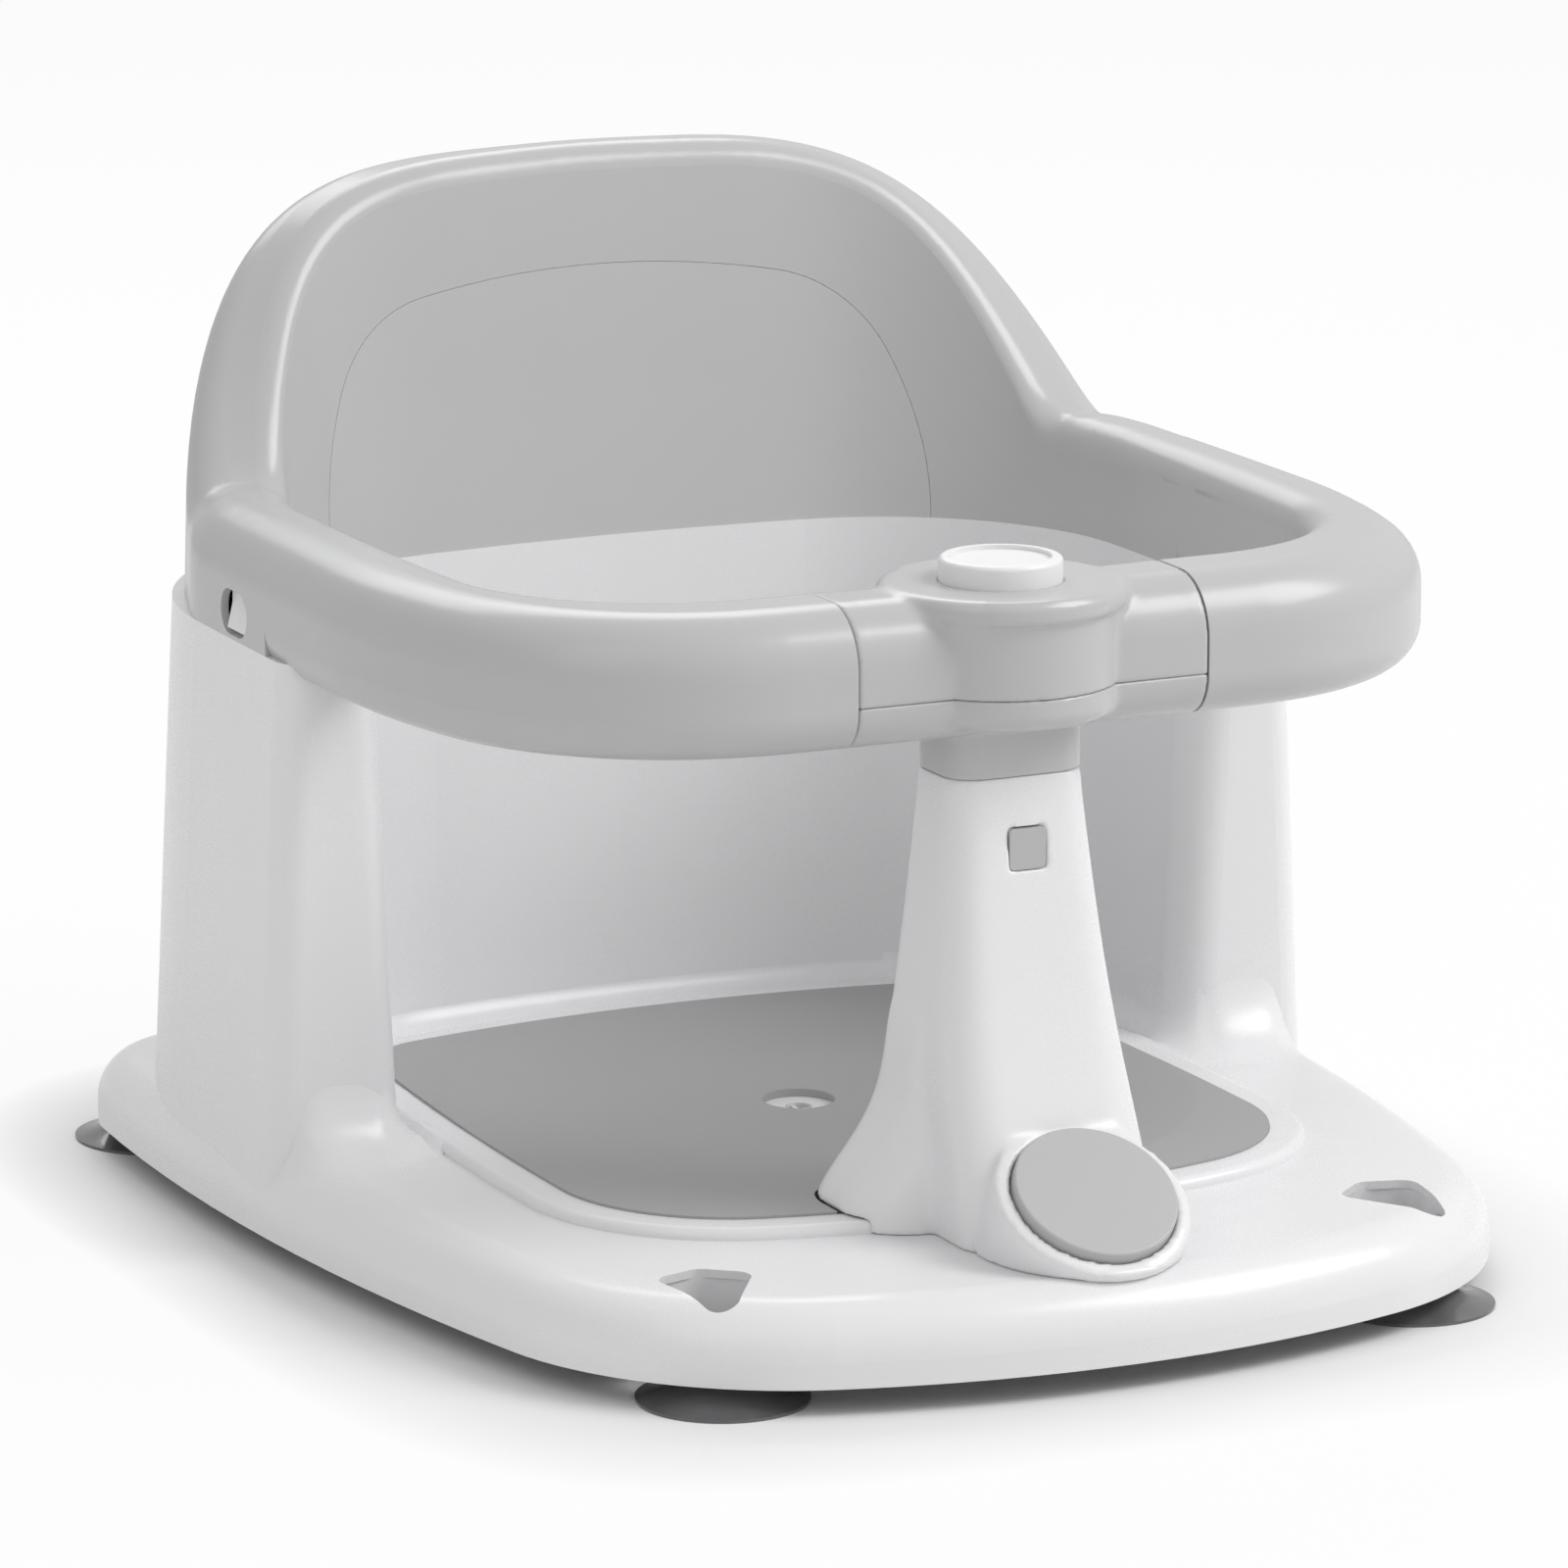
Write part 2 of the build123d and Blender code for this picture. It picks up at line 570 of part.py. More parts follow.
def front_post(deck):
    """Hollow post with flared foot and slanted boss."""
    shell = post_outside(0)
    boss = extrude(disc_plane(-BOSS_STEP) * Circle(BOSS_R), -46)
    cavity = post_outside(-WALL) & block(-100, 100, -200, 0, 0, POST_TOP - GUIDE_LENGTH)
    body = shell + boss - cavity
    pocket = extrude(disc_plane(-DISC_THICK - BOSS_STEP) * Circle(DISC_R + DISC_GAP), 20)
    y = POST_SCREW_Y
    body = body - pocket
    body = body + (cyl(SCREW_BORE_R + WALL, 0, y, DECK, 60) & (boss - pocket))
    body = (body & block(-100, 100, -260, 0, SKIRT_BOTTOM + 4, 200)) - deck
    body = body - cyl(SCREW_BORE_R, 0, y, DECK + 5, 80) - cyl(SCREW_R + FIT, 0, y, 0, 80)
    body = body - pill(TONGUE_HX + SLIDE_FIT, TONGUE_HY + SLIDE_FIT, 2, 0, HUB_Y, 100, POST_TOP + 1)
    channel = block(-LATCH_HX - LATCH_GAP, LATCH_HX + LATCH_GAP, CHANNEL_FRONT, HUB_Y,
                    LATCH_Z - LATCH_HZ - LATCH_GAP, POST_TOP + 1)
    window = block(-LATCH_HX - LATCH_GAP, LATCH_HX + LATCH_GAP, -160, HUB_Y - 1,
                   LATCH_Z - LATCH_HZ - LATCH_GAP, LATCH_Z + LATCH_HZ + LATCH_GAP)
    return body - channel - window


def disc_cap():
    """Round cap over the screw."""
    body = extrude(disc_plane(-DISC_THICK - BOSS_STEP) * Circle(DISC_R), DISC_THICK + BOSS_STEP)
    top = [e for e in body.edges() if e.center().Z > DISC_Z - 1.0]
    return fillet(top, 0.8)


def post_screw():
    """Screw under the round cap."""
    y, seat = POST_SCREW_Y, DECK + 5
    body = cyl(SCREW_R, 0, y, SKIRT_BOTTOM + 9, seat + 0.5) + cyl(SCREW_HEAD_R, 0, y, seat, seat + 2.4)
    slot = block(-2.4, 2.4, y - 0.5, y + 0.5, seat + 1.5, seat + 3)
    return body - slot


# Front bar
def bar_space():
    """Space of the front bar between the seams."""
    return block(-SEAM_X, SEAM_X, -200, 0, 0, 400)


def hub_cover():
    """Upper half of the front bar with the drum."""
    upper = block(-100, 100, -200, 0, SPLIT, 400)
    drum = cyl(HUB_R, 0, HUB_Y, SPLIT, HUB_TOP)
    flange = fillet(edges_at(cyl(HUB_FLANGE_R, 0, HUB_Y, HUB_TOP - 7, HUB_TOP), HUB_TOP), 3.5)
    flange = fillet(edges_at(flange, HUB_TOP - 7), 1.6)
    arms = (ring(0) - ring(WALL)) & bar_space() & upper
    body = arms + drum + flange - cyl(HUB_R - WALL, 0, HUB_Y, SPLIT - 1, HUB_TOP - WALL)
    body = body - cyl(BUTTON_R + SLIDE_FIT, 0, HUB_Y, SPLIT, HUB_TOP + 1)
    for x in (-HUB_SCREW_X, HUB_SCREW_X):
        body = body + cyl(BIT_BOSS_R, x, HUB_Y, SPLIT, HUB_TOP - WALL / 2)
        body = body - cyl(BIT_R, x, HUB_Y, SPLIT - 1, SPLIT + 14)
    return body


def hub_underside():
    """Lower half of the front bar with neck and tongue."""
    lower = block(-100, 100, -200, 0, 0, SPLIT)
    drum = cyl(HUB_R, 0, HUB_Y, HUB_BOTTOM, SPLIT)
    drum = fillet(edges_at(drum, HUB_BOTTOM), 5)
    arms = (ring(0) - ring(WALL)) & bar_space() & lower
    body = arms + drum - cyl(HUB_R - WALL, 0, HUB_Y, HUB_BOTTOM + WALL, SPLIT + 1)
    body = body + pill(NECK_HX, NECK_HY, NECK_R, 0, HUB_Y, POST_TOP, HUB_BOTTOM + WALL)
    body = body + pill(TONGUE_HX, TONGUE_HY, 2, 0, HUB_Y, POST_TOP - TONGUE_LENGTH, POST_TOP)
    body = body - cyl(STEM_R + SLIDE_FIT, 0, HUB_Y, POST_TOP - 12, 200)
    y = (RING["yf"] + WELL["yf"]) / 2
    for side in (-1, 1):
        x0, x1 = SEAM_X - TENON_LENGTH - SEAM, SEAM_X + 1
        body = body - block(min(side * x0, side * x1), max(side * x0, side * x1),
                            y - TENON_WIDTH / 2 - SEAM, y + TENON_WIDTH / 2 + SEAM, 100, SPLIT + 1)
        x = side * HUB_SCREW_X
        body = body + cyl(BIT_BOSS_R, x, HUB_Y, HUB_BOTTOM + 1, SPLIT)
        body = body - cyl(BIT_R, x, HUB_Y, 100, SPLIT + 1)
        body = body - cyl(BIT_HEAD_R + FIT, x, HUB_Y, 100, HUB_BOTTOM + 4)
    return body


def hub_screws():
    """Two screws that hold the halves of the front bar."""
    return Compound([bit(x, HUB_Y, HUB_BOTTOM + 4, 17) for x in (-HUB_SCREW_X, HUB_SCREW_X)])


def latch_tongue():
    """Springy latch whose pad shows in the window of the post."""
    leaf_front = HUB_Y - TONGUE_HY - LEAF_THICK
    leaf = block(-LATCH_HX + 1, LATCH_HX - 1, leaf_front, HUB_Y - TONGUE_HY, LATCH_Z - LATCH_HZ, POST_TOP)
    pad = block(-LATCH_HX, LATCH_HX, LATCH_FACE, leaf_front + 0.5, LATCH_Z - LATCH_HZ, LATCH_Z + LATCH_HZ)
    round_edges = [e for e in pad.edges() if abs(e.bounding_box().max.X - e.bounding_box().min.X) < 0.01
                   and abs(e.bounding_box().max.Z - e.bounding_box().min.Z) < 0.01]
    return fillet(round_edges, 1.5) + leaf


def push_button():
    """Round push button with collar and stem."""
    low = BUTTON_TOP - 12
    top = HUB_TOP - WALL
    cap = cyl(BUTTON_R, 0, HUB_Y, low, BUTTON_TOP)
    cap = fillet(edges_at(cap, BUTTON_TOP), 1.5)
    dish = cyl(BUTTON_R - 3.2, 0, HUB_Y, BUTTON_TOP - 1.2, BUTTON_TOP + 1)
    cap = cap - dish
    cap = cap + cyl(BUTTON_R + COLLAR, 0, HUB_Y, low - 1, top)
    cap = cap - cyl(BUTTON_R - WALL, 0, HUB_Y, low - 2, BUTTON_TOP - 4)
    return cap + cyl(STEM_R, 0, HUB_Y, POST_TOP + BUTTON_TRAVEL + STEM_GAP, BUTTON_TOP - 3)


def button_spring():
    """Coil spring under the push button."""
    low, high = HUB_BOTTOM + WALL, BUTTON_TOP - 4
    radius, wire, turns = STEM_R + 2.4, 0.7, 7
    rise = high - low - 2 * wire
    path = Pos(0, HUB_Y, low + wire) * Helix(rise / turns, rise, radius)
    start = path @ 0
    face = Plane(origin=start, z_dir=path % 0) * Circle(wire)
    coil = sweep(face, path=path, is_frenet=True)
    rings = [Pos(0, HUB_Y, z) * Torus(radius, wire) for z in (low + wire, high - wire)]
    return coil + rings[0] + rings[1]


# Suction cups
def suction_cup(x, y):
    """Soft cup with a neck and a knob above the socket plate."""
    plate_top = CUP_PLATE + CUP_PLATE_THICK
    half = [Line((0, 3.0), (9.0, 2.6)), Line((9.0, 2.6), (CUP_R - CUP_RIM, 0)),
            Line((CUP_R - CUP_RIM, 0), (CUP_R, 0)), Line((CUP_R, 0), (CUP_R, 0.9)),
            Spline([(CUP_R, 0.9), (15.0, 4.2), (8.5, 8.5)]), Line((8.5, 8.5), (8.5, CUP_PLATE)),
            Line((8.5, CUP_PLATE), (CUP_NECK_R, CUP_PLATE)), Line((CUP_NECK_R, CUP_PLATE), (CUP_NECK_R, plate_top)),
            Line((CUP_NECK_R, plate_top), (CUP_KNOB_R, plate_top)),
            Line((CUP_KNOB_R, plate_top), (CUP_KNOB_R - 0.8, plate_top + 3.5)),
            Line((CUP_KNOB_R - 0.8, plate_top + 3.5), (3.2, plate_top + 9.0)),
            Line((3.2, plate_top + 9.0), (0, plate_top + 9.0)), Line((0, plate_top + 9.0), (0, 3.0))]
    profile = Plane.XZ * make_face(half)
    return Pos(x, y, 0) * revolve(profile, Axis.Z)


def save(node, solid):
    """Write one piece of the product."""
    export_step(solid, "parts/" + node + ".step")


def main():
    """Build every piece."""
    os.makedirs("parts", exist_ok=True)
    save("base_body", base_body())
    save("front_post", front_post(deck_block(0)))
    layer = panel_layer()
    save("upper_shell", upper_shell(upper_solid(), layer))
    save("backrest_panel", backrest_panel(layer))
    save("seat_mat", seat_mat())
    save("hub_cover", hub_cover())
    save("hub_underside", hub_underside())
    save("hub_screws", hub_screws())
    save("latch_tongue", latch_tongue())
    save("push_button", push_button())
    save("button_spring", button_spring())
    save("disc_cap", disc_cap())
    save("post_screw", post_screw())
    for word, side in (("left", -1), ("right", 1)):
        save("arm_cover_" + word, arm_cover(side))
        save("arm_screws_" + word, arm_screws(side))
    for word, x, y in cup_places():
        save("suction_cup_" + word, suction_cup(x, y))


main()
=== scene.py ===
import json
import math
import bmesh
import bpy
from mathutils import Matrix, Vector, bvhtree


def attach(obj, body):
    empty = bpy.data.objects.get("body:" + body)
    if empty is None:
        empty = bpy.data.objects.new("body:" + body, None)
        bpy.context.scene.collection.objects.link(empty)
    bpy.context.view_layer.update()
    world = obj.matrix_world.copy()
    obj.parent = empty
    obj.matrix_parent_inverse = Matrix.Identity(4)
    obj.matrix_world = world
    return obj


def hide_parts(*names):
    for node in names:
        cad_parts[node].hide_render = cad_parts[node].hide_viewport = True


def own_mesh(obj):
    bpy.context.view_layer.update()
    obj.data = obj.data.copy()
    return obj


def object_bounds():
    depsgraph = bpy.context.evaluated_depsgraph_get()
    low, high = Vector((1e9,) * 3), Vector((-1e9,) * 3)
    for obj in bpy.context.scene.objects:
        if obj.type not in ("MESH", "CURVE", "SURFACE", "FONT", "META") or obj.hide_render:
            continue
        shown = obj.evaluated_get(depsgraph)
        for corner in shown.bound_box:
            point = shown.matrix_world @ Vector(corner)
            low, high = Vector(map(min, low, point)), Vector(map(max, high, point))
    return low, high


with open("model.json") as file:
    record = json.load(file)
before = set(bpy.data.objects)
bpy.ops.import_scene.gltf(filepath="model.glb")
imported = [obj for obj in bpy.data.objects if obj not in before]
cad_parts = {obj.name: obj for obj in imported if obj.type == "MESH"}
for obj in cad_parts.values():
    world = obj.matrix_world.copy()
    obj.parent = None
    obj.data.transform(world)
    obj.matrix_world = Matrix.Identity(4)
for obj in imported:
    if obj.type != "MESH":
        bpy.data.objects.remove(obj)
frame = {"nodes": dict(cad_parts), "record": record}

cad_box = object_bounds()

# View of the photograph: turn and tilt in degrees, distances in metres
TURN = -25.363
TILT = 12.974
DISTANCE = 2.763
AIM_RIGHT = -0.01179
AIM_UP = 0.13109
AIM_SHIFT_Y = -0.002
LENS = 205.2

# Light, and how far past the object the floor starts to turn white
WORLD_LEVEL = 0.64
FLOOR_WHITE = 0.9
FLOOR_SIZE = 20
FLOOR_START = 1.06
FLOOR_FADE = 0.9
LAMPS = [
    ("top right", (1.4, -0.9, 1.8), (0, 0, 0.12), (1.2, 1.2), 29),
    ("top left", (-1.5, -1.0, 1.5), (0, 0, 0.12), (1.0, 1.6), 3),
    ("rear", (0.3, 1.8, 1.6), (0, 0, 0.15), (1.6, 1.0), 12),
]

# Skin of the post in millimetres: the zone that is softened, the window and the cap that aren't
POST_SOFT_LOW = 33.5
POST_SOFT_HIGH = 160.0
WINDOW_HALF = 11.0
WINDOW_LOW = 128.0
WINDOW_FACE = -125.0
CAP_Y = -186.0
CAP_Z = 52.0
CAP_TILT = 34.0
CAP_RADIUS = 27.0
CAP_DEPTH = 8.0

# Skin of the hub in millimetres: its axis and parting, and the zone beside the drum
HUB_Y = -122.0
PARTING = 191.8
PARTING_CLEAR = 1.2
BESIDE_FROM = 19.0
BESIDE_TO = 52.0
BUTTON_HOLE = 25.0

# Grids in metres, and how often they are softened
POST_GRID = 0.0011
HUB_GRID = 0.0008
POST_TURNS = 14
HUB_TURNS = 16

# Sweeps at the foot of the wall in metres, with the wall's draft in degrees
DECK = 0.0315
FOOT_CUT = 0.058
RIDGE_LOW = 0.018
RIDGE_TOP = 0.0355
FOOT_FRONT = 0.024
FOOT_IN = 0.011
FOOT_OUT = 0.0012
FOOT_SUNK = 0.00015
EDGE_SUNK = 0.0002
PROBE_CLEAR = 0.0006
WALL_FRONT = 0.03
WALL_DRAFT = 2.6
LOOP_STEP = 0.0016
SWEEP_STEPS = 12

# Finger holes in millimetres and degrees, and the heights of their walls in metres
FINGER_X = 113.3
FINGER_Y = -166.0
FINGER_CORNERS = [(0, -25.3), (15, 12.9), (0, 20.7), (-15, 12.9)]
FINGER_ROUND = 6.0
FINGER_TURN = 12
POCKET_GROW = 1.03
POCKET_LOW = 0.0142
POCKET_LEAST = 0.004
POCKET_UNDER = 0.0006
POCKET_DECK = 0.0305


# Shader maths
class Number:
    """A number that changes over a surface."""

    def __init__(self, finish, socket):
        self.finish = finish
        self.socket = socket

    def math(self, operation, a, b=0.0):
        values = [v.socket if isinstance(v, Number) else v for v in (a, b)]
        node = self.finish.node("ShaderNodeMath", {"operation": operation}, {0: values[0], 1: values[1]})
        return Number(self.finish, node.outputs[0])

    def __add__(self, other):
        return self.math("ADD", self, other)

    def __radd__(self, other):
        return self.math("ADD", other, self)

    def __sub__(self, other):
        return self.math("SUBTRACT", self, other)

    def __rsub__(self, other):
        return self.math("SUBTRACT", other, self)

    def __mul__(self, other):
        return self.math("MULTIPLY", self, other)

    def __rmul__(self, other):
        return self.math("MULTIPLY", other, self)

    def __truediv__(self, other):
        return self.math("DIVIDE", self, other)

    def __rtruediv__(self, other):
        return self.math("DIVIDE", other, self)

    def __pow__(self, other):
        return self.math("POWER", self, other)


class Finish:
    """Material of one kind of surface."""

    def __init__(self, name, **constants):
        self.material = bpy.data.materials.new(name)
        self.material.use_nodes = True
        self.nodes = self.material.node_tree.nodes
        self.links = self.material.node_tree.links
        self.shader = self.nodes["Principled BSDF"]
        for socket, value in constants.items():
            self.shader.inputs[socket.replace("_", " ")].default_value = value
        self.place = self.node("ShaderNodeTexCoord").outputs["Object"]

    def node(self, kind, settings=None, inputs=None):
        node = self.nodes.new(kind)
        for key, value in (settings or {}).items():
            setattr(node, key, value)
        for key, value in (inputs or {}).items():
            if isinstance(value, Number):
                value = value.socket
            if isinstance(value, bpy.types.NodeSocket):
                self.links.new(value, node.inputs[key])
            else:
                node.inputs[key].default_value = value
        return node

    def noise(self, scale, detail=2.0, roughness=0.5):
        inputs = {"Vector": self.place, "Scale": scale, "Detail": detail, "Roughness": roughness}
        return Number(self, self.node("ShaderNodeTexNoise", None, inputs).outputs["Fac"])

    def feed(self, socket, value):
        if isinstance(value, Number):
            value = value.socket
        self.links.new(value, self.shader.inputs[socket])

    def tint(self, dark, light, amount):
        """Colour between two close shades."""
        inputs = {0: amount, 6: (*dark, 1.0), 7: (*light, 1.0)}
        node = self.node("ShaderNodeMix", {"data_type": "RGBA"}, inputs)
        self.feed("Base Color", node.outputs[2])

    def bump(self, height, depth):
        inputs = {"Height": height, "Strength": 1.0, "Distance": depth}
        self.feed("Normal", self.node("ShaderNodeBump", None, inputs).outputs["Normal"])


def shade(grey, change=1.0):
    """Nearly neutral colour."""
    return (grey * change, grey * change, grey * change * 1.012)


def moulded(name, grey, rough):
    """Injection-moulded plastic with faint flow marks and a hint of orange peel."""
    finish = Finish(name, IOR=1.49)
    cloud = finish.noise(9.0, 3.0)
    grain = finish.noise(2600.0, 2.0)
    finish.tint(shade(grey, 0.975), shade(grey, 1.02), cloud)
    finish.feed("Roughness", rough + (cloud - 0.5) * 0.06 + (grain - 0.5) * 0.05)
    finish.bump(finish.noise(260.0, 1.0) * 0.7 + grain * 0.12, 0.000012)
    return finish.material


def soft_rubber(name, grey, rough):
    """Soft moulded rubber with a fine even grain."""
    finish = Finish(name, IOR=1.48)
    cloud = finish.noise(14.0, 3.0)
    grain = finish.noise(1900.0, 3.0, 0.6)
    finish.tint(shade(grey, 0.95), shade(grey, 1.04), cloud * 0.7 + grain * 0.3)
    finish.feed("Roughness", rough + (grain - 0.5) * 0.14)
    finish.bump(grain, 0.00005)
    return finish.material


def dark_rubber(name):
    """Dark glossy rubber of the suction cups."""
    finish = Finish(name, Coat_Weight=0.4, Coat_Roughness=0.06, IOR=1.45)
    cloud = finish.noise(60.0, 2.0)
    finish.tint((0.085, 0.085, 0.088), (0.15, 0.15, 0.155), cloud)
    finish.feed("Roughness", 0.16 + cloud * 0.1)
    finish.bump(finish.noise(500.0, 1.0), 0.00002)
    return finish.material


def steel(name, grey):
    """Plated steel with fine turning marks."""
    finish = Finish(name, Metallic=1.0)
    lines = finish.noise(1500.0, 2.0)
    finish.tint(shade(grey, 0.85), shade(grey, 1.1), lines)
    finish.feed("Roughness", 0.28 + lines * 0.12)
    finish.bump(lines, 0.00001)
    return finish.material


FINISHES = {
    "base_white": moulded("white gloss shell", 0.80, 0.27),
    "post_white": moulded("white gloss post", 0.80, 0.27),
    "button_white": moulded("white button", 0.82, 0.30),
    "shell_grey": moulded("grey gloss shell", 0.50, 0.25),
    "bar_grey": moulded("grey gloss bar", 0.50, 0.22),
    "panel_grey": moulded("grey satin panel", 0.51, 0.32),
    "disc_grey": moulded("grey cap", 0.47, 0.42),
    "latch_grey": moulded("grey latch", 0.47, 0.40),
    "mat_grey": soft_rubber("grey soft mat", 0.38, 0.55),
    "cup_rubber": dark_rubber("dark rubber"),
    "screw_steel": steel("plated steel", 0.62),
    "spring_steel": steel("spring steel", 0.55),
}


def dress_nodes():
    """Give every carried-over node the finish of its slot."""
    slots = {s["node"]: s["material_slot"] for s in frame["record"]["subparts"]}
    for node, slot in slots.items():
        mesh = frame["nodes"][node].data
        mesh.materials.clear()
        mesh.materials.append(FINISHES[slot])


def add_camera():
    """Camera at the photograph's view."""
    a, e = math.radians(TURN), math.radians(TILT)
    right = Vector((math.cos(a), math.sin(a), 0))
    up = Vector((-math.sin(e) * math.sin(a), math.sin(e) * math.cos(a), math.cos(e)))
    back = Vector((math.sin(a) * math.cos(e), -math.cos(a) * math.cos(e), math.sin(e)))
    place = back * DISTANCE + right * AIM_RIGHT + up * AIM_UP + Vector((0, AIM_SHIFT_Y, 0))
    data = bpy.data.cameras.new("view")
    data.lens = LENS
    data.sensor_width = 36
    data.clip_end = 60
    camera = bpy.data.objects.new("view", data)
    camera.matrix_world = Matrix((right, up, back)).transposed().to_4x4()
    camera.matrix_world.translation = place
    bpy.context.scene.collection.objects.link(camera)
    bpy.context.scene.camera = camera


def add_lamp(name, place, aim, size, power):
    """Large soft lamp turned to a point."""
    data = bpy.data.lights.new(name, "AREA")
    data.shape = "RECTANGLE"
    data.size, data.size_y = size
    data.energy = power
    lamp = bpy.data.objects.new(name, data)
    lamp.location = place
    way = Vector(aim) - Vector(place)
    lamp.rotation_euler = way.to_track_quat("-Z", "Y").to_euler()
    bpy.context.scene.collection.objects.link(lamp)


def add_stage():
    """Wide pale floor."""
    mesh = bpy.data.meshes.new("floor")
    bm = bmesh.new()
    bmesh.ops.create_grid(bm, x_segments=1, y_segments=1, size=FLOOR_SIZE)
    bm.to_mesh(mesh)
    bm.free()
    mesh.materials.append(floor_finish())
    floor = bpy.data.objects.new("floor", mesh)
    bpy.context.scene.collection.objects.link(floor)


def floor_finish():
    """Floor that looks white to the camera, keeps a faint shadow and is clear from below."""
    finish = Finish("floor white", Roughness=0.9, Specular_IOR_Level=0.1)
    finish.tint((0.80, 0.80, 0.80), (0.82, 0.82, 0.82), finish.noise(0.6))
    ray = finish.node("ShaderNodeLightPath")
    white = finish.node("ShaderNodeEmission", None, {"Color": (1, 1, 1, 1), "Strength": 1.0})
    axes = finish.node("ShaderNodeSeparateXYZ", None, {"Vector": finish.place})
    across = Number(finish, axes.outputs["X"]) / (cad_box[1].x * FLOOR_START)
    along = Number(finish, axes.outputs["Y"]) / (cad_box[1].y * FLOOR_START)
    clear = across ** 4.0 + along ** 4.0 - FLOOR_FADE
    clear = clear.math("MINIMUM", clear.math("MAXIMUM", clear, 0.0), 1.0)
    upper = 1.0 - Number(finish, finish.node("ShaderNodeNewGeometry").outputs["Backfacing"])
    finish.feed("Alpha", upper)
    seen = Number(finish, ray.outputs["Is Camera Ray"]) * clear * upper * FLOOR_WHITE
    mix = finish.node("ShaderNodeMixShader", None, {"Fac": seen})
    finish.links.new(finish.shader.outputs["BSDF"], mix.inputs[1])
    finish.links.new(white.outputs["Emission"], mix.inputs[2])
    finish.links.new(mix.outputs["Shader"], finish.nodes["Material Output"].inputs["Surface"])
    return finish.material


def add_world():
    """Even pale surroundings, white behind the object."""
    world = bpy.data.worlds.new("studio")
    bpy.context.scene.world = world
    world.use_nodes = True
    nodes, links = world.node_tree.nodes, world.node_tree.links
    background = nodes["Background"]
    background.inputs["Color"].default_value = (1, 1, 1, 1)
    ray = nodes.new("ShaderNodeLightPath")
    level = nodes.new("ShaderNodeMapRange")
    links.new(ray.outputs["Is Camera Ray"], level.inputs["Value"])
    level.inputs["To Min"].default_value = WORLD_LEVEL
    level.inputs["To Max"].default_value = 1.0
    links.new(level.outputs["Result"], background.inputs["Strength"])


# Copies of the solids with their hard inner corners blended
def fresh(node):
    """Closed copy of a node's mesh as a bmesh."""
    bm = bmesh.new()
    bm.from_mesh(frame["nodes"][node].data)
    bmesh.ops.remove_doubles(bm, verts=bm.verts, dist=1e-6)
    bmesh.ops.recalc_face_normals(bm, faces=bm.faces)
    return bm


def add_piece(name, bm, slot, body, replaced=None):
    """Put a finished bmesh into the scene as a piece of a body."""
    mesh = bpy.data.meshes.new(name)
    bm.to_mesh(mesh)
    bm.free()
    mesh.materials.append(FINISHES[slot])
    piece = bpy.data.objects.new(name, mesh)
    bpy.context.scene.collection.objects.link(piece)
    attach(piece, body)
    if replaced:
        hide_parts(replaced)
    return piece


def regrid(bm, voxel):
    """The same closed form with an even grid of faces."""
    mesh = bpy.data.meshes.new("grid")
    bm.to_mesh(mesh)
    bm.free()
    holder = bpy.data.objects.new("grid", mesh)
    bpy.context.scene.collection.objects.link(holder)
    modifier = holder.modifiers.new("grid", "REMESH")
    modifier.mode = "VOXEL"
    modifier.voxel_size = voxel
    graph = bpy.context.evaluated_depsgraph_get()
    even = bpy.data.meshes.new_from_object(holder.evaluated_get(graph))
    bm = bmesh.new()
    bm.from_mesh(even)
    bpy.data.objects.remove(holder)
    bpy.data.meshes.remove(even)
    bpy.data.meshes.remove(mesh)
    return bm


def soften(bm, soft, turns):
    """Even out the surface where a test of the place says so."""
    verts = [v for v in bm.verts if soft(v.co * 1000)]
    for _ in range(turns):
        bmesh.ops.smooth_vert(bm, verts=verts, factor=0.5, use_axis_x=True, use_axis_y=True, use_axis_z=True)
    for face in bm.faces:
        face.smooth = True


def soft_post(p):
    """Trunk, flare and boss of the post, but not its window, top, foot or cap recess."""
    window = abs(p.x) < WINDOW_HALF and p.z > WINDOW_LOW and p.y < WINDOW_FACE
    return POST_SOFT_LOW < p.z < POST_SOFT_HIGH and not window and not near_cap(p)


def near_cap(p):
    """Places in the recess of the round cap."""
    tilt = math.radians(CAP_TILT)
    normal = Vector((0, -math.sin(tilt), math.cos(tilt)))
    off = Vector((p.x, p.y - CAP_Y, p.z - CAP_Z))
    along = off.dot(normal)
    return (off - normal * along).length < CAP_RADIUS and along > -CAP_DEPTH


def add_post():
    """Post of one smooth skin."""
    bm = regrid(fresh("front_post"), POST_GRID)
    soften(bm, soft_post, POST_TURNS)
    add_piece("post_skin", bm, "post_white", "seat", "front_post")


def add_hub():
    """Both halves of the hub with soft blends between drum and arms."""
    for node in ("hub_cover", "hub_underside"):
        bm = regrid(fresh(node), HUB_GRID)
        soften(bm, soft_hub, HUB_TURNS)
        add_piece(node + "_skin", bm, "bar_grey", "front_bar", node)


def soft_hub(p):
    """Places beside the drum, clear of the seams, the parting and the button's hole."""
    beside = BESIDE_FROM < abs(p.x) < BESIDE_TO and math.hypot(p.x, p.y - HUB_Y) > BUTTON_HOLE
    return beside and not PARTING - PARTING_CLEAR < p.z < PARTING + PARTING_CLEAR


# Open skins over the base
def ground_of_base():
    """Surface of the base for rays."""
    graph = bpy.context.evaluated_depsgraph_get()
    return bvhtree.BVHTree.FromObject(frame["nodes"]["base_body"], graph)


def drop(ground, place):
    """Point where a ray straight down meets the base."""
    return ground.ray_cast(Vector((place.x, place.y, FOOT_CUT)), Vector((0, 0, -1)))[0]


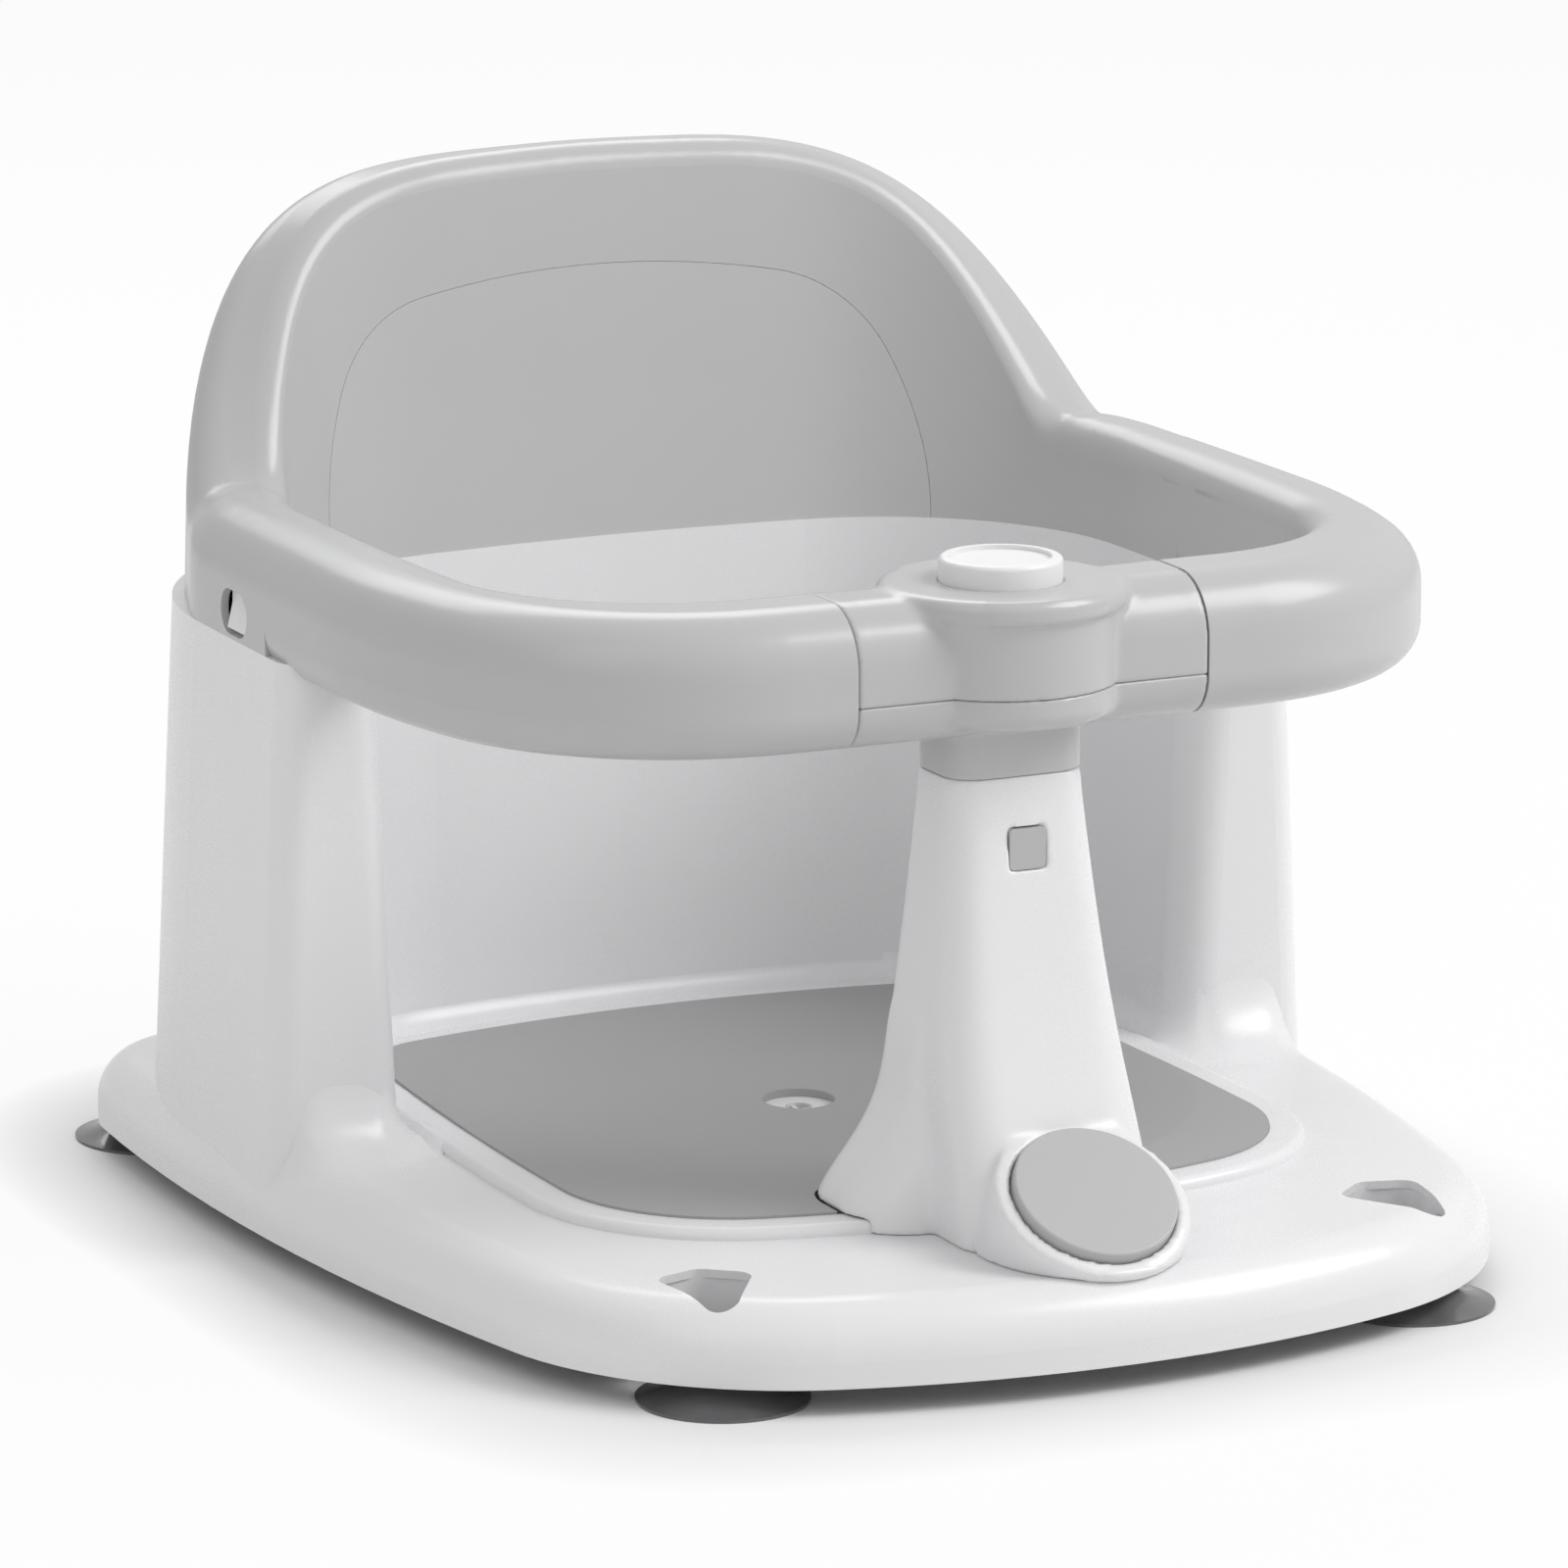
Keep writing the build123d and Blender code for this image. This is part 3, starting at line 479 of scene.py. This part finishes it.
def add_skin(name, bm, rows):
    """Close rows of points into one band round the base and add it."""
    for row, after in zip(rows, rows[1:] + rows[:1]):
        for k in range(len(row) - 1):
            bm.faces.new((row[k], after[k], after[k + 1], row[k + 1])).smooth = True
    bmesh.ops.recalc_face_normals(bm, faces=bm.faces)
    add_piece(name, bm, "base_white", "seat")


# Outline of the wall
def wall_loop(z):
    """Outline of the wall at one height, as points at even steps."""
    bm = fresh("base_body")
    geom = bm.verts[:] + bm.edges[:] + bm.faces[:]
    cut = bmesh.ops.bisect_plane(bm, geom=geom, plane_co=(0, 0, z), plane_no=(0, 0, 1))
    lines = [g for g in cut["geom_cut"] if isinstance(g, bmesh.types.BMEdge)]
    lines.sort(key=lambda e: (round(e.verts[0].co.y, 7), round(e.verts[0].co.x, 7)))
    left = set(lines)
    best = []
    for line in lines:
        if line in left:
            points = chain_from(line, left)
            best = max(best, points, key=length_of)
    bm.free()
    return even_steps(best, LOOP_STEP)


def chain_from(line, left):
    """Points of the closed line that holds an edge, which is taken out of those left."""
    left.discard(line)
    chain = [line.verts[0], line.verts[1]]
    step = line
    while step:
        step = next((e for e in chain[-1].link_edges if e in left), None)
        if step:
            left.discard(step)
            chain.append(step.other_vert(chain[-1]))
    return [v.co.xy.copy() for v in chain]


def length_of(points):
    """Length along a row of points."""
    return sum((b - a).length for a, b in zip(points, points[1:]))


def even_steps(points, step):
    """The same closed line with points at even distances, anticlockwise."""
    count = int(length_of(points) / step)
    step = length_of(points) / count
    out, walked, target = [], 0.0, 0.0
    for a, b in zip(points, points[1:]):
        piece = (b - a).length
        while piece > 0 and target < walked + piece and len(out) < count:
            out.append(a.lerp(b, (target - walked) / piece))
            target += step
        walked += piece
    area = sum(a.x * b.y - a.y * b.x for a, b in zip(out, out[1:] + out[:1]))
    return out if area > 0 else out[::-1]


def evened(values, reach):
    """Running mean round a closed list of numbers or vectors."""
    n = len(values)
    window = range(-reach, reach + 1)
    zero = values[0] * 0
    return [sum((values[(i + k) % n] for k in window), zero) / len(window) for i in range(n)]


def outward(points):
    """Directions straight out from a closed line."""
    ways = [b - a for a, b in zip(points[-1:] + points[:-1], points[1:] + points[:1])]
    return [v.normalized() for v in evened([Vector((w.y, -w.x)).normalized() for w in ways], 2)]


# Sweeps at the foot of the wall
def sweep_size(point, normal):
    """Radius of the sweep: wide in front, narrower inside, nearly none outside."""
    facing = max(0.0, -normal.y) if point.y < WALL_FRONT else 0.0
    if normal.x * point.x > 0:
        return FOOT_OUT + (FOOT_FRONT - FOOT_OUT) * facing ** 6
    inside = min(1.0, max(0.0, -1.6 * point.normalized().dot(normal)))
    return max(FOOT_OUT, FOOT_IN * inside, FOOT_FRONT * facing)


def held_back(size, point, normal):
    """Radius that fades where the front end of the wall turns to the outside."""
    aside = normal.x * math.copysign(1.0, point.x)
    if point.y > WALL_FRONT or aside <= 0:
        return size
    return max(FOOT_OUT, size * (1 - 1.3 * aside))


def level_under(ground, place):
    """Height of the deck under a place beside the wall."""
    hit = drop(ground, place)
    if hit and hit.z > RIDGE_TOP:
        return DECK
    return max(hit.z, RIDGE_LOW) if hit else RIDGE_LOW


def add_sweeps():
    """Concave sweep from the wall down to the deck, all round the wall."""
    points = evened(wall_loop(FOOT_CUT), 1)
    normals = outward(points)
    sizes = evened(evened([sweep_size(p, v) for p, v in zip(points, normals)], 4), 3)
    sizes = [held_back(s, p, v) for s, p, v in zip(sizes, points, normals)]
    ground = ground_of_base()
    bm = bmesh.new()
    rows = []
    for point, normal, size in zip(points, normals, sizes):
        draft = 0.0 if normal.y < -0.9 else math.tan(math.radians(WALL_DRAFT))
        row = []
        for k in range(SWEEP_STEPS + 1):
            turn = math.pi / 2 * k / SWEEP_STEPS
            out = size * (1 - math.sin(turn))
            rise = size * (1 - math.cos(turn))
            sunk = EDGE_SUNK if k == 0 else 0.0
            foot = point + normal * (out + draft * (FOOT_CUT - DECK - rise) - FOOT_SUNK)
            level = level_under(ground, point + normal * (out + draft * (FOOT_CUT - DECK) + PROBE_CLEAR))
            row.append(bm.verts.new((foot.x, foot.y, level + rise - sunk)))
        rows.append(row)
    add_skin("wall_foot_sweeps", bm, rows)


def add_spring():
    """Coil under the button, smooth-shaded, with a mesh of its own."""
    coil = add_piece("button_coil", fresh("button_spring"), "spring_steel", "front_bar", "button_spring")
    for face in coil.data.polygons:
        face.use_smooth = True
    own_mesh(coil)


# Walls inside the finger holes
def rounded(corners, radius, steps=6):
    """Closed outline through corners rounded by short curves."""
    out = []
    for before, corner, after in zip(corners[-1:] + corners[:-1], corners, corners[1:] + corners[:1]):
        start = corner + (before - corner).normalized() * radius
        end = corner + (after - corner).normalized() * radius
        for k in range(steps + 1):
            t = k / steps
            out.append(start * (1 - t) ** 2 + corner * 2 * t * (1 - t) + end * t * t)
    return out


def add_pockets():
    """Side walls that run down from the edge of each finger hole."""
    ground = ground_of_base()
    for side, word in ((-1, "left"), (1, "right")):
        turn = Matrix.Rotation(math.radians(FINGER_TURN * side), 2)
        middle = Vector((side * FINGER_X, FINGER_Y))
        edge = rounded([Vector(c) for c in FINGER_CORNERS], FINGER_ROUND)
        bm = bmesh.new()
        rows = []
        for p in [(turn @ q * POCKET_GROW + middle) / 1000 for q in edge]:
            hit = drop(ground, p)
            deck = hit.z if hit and hit.z > POCKET_LOW + POCKET_LEAST else POCKET_DECK
            high = deck - POCKET_UNDER
            heights = (high, (high + POCKET_LOW) / 2, POCKET_LOW)
            rows.append([bm.verts.new((p.x, p.y, z)) for z in heights])
        add_skin("finger_pocket_" + word, bm, rows)


dress_nodes()
add_camera()
add_stage()
add_world()
add_post()
add_hub()
add_spring()
add_sweeps()
add_pockets()
for lamp in LAMPS:
    add_lamp(*lamp)
bpy.context.scene.view_settings.view_transform = "Standard"
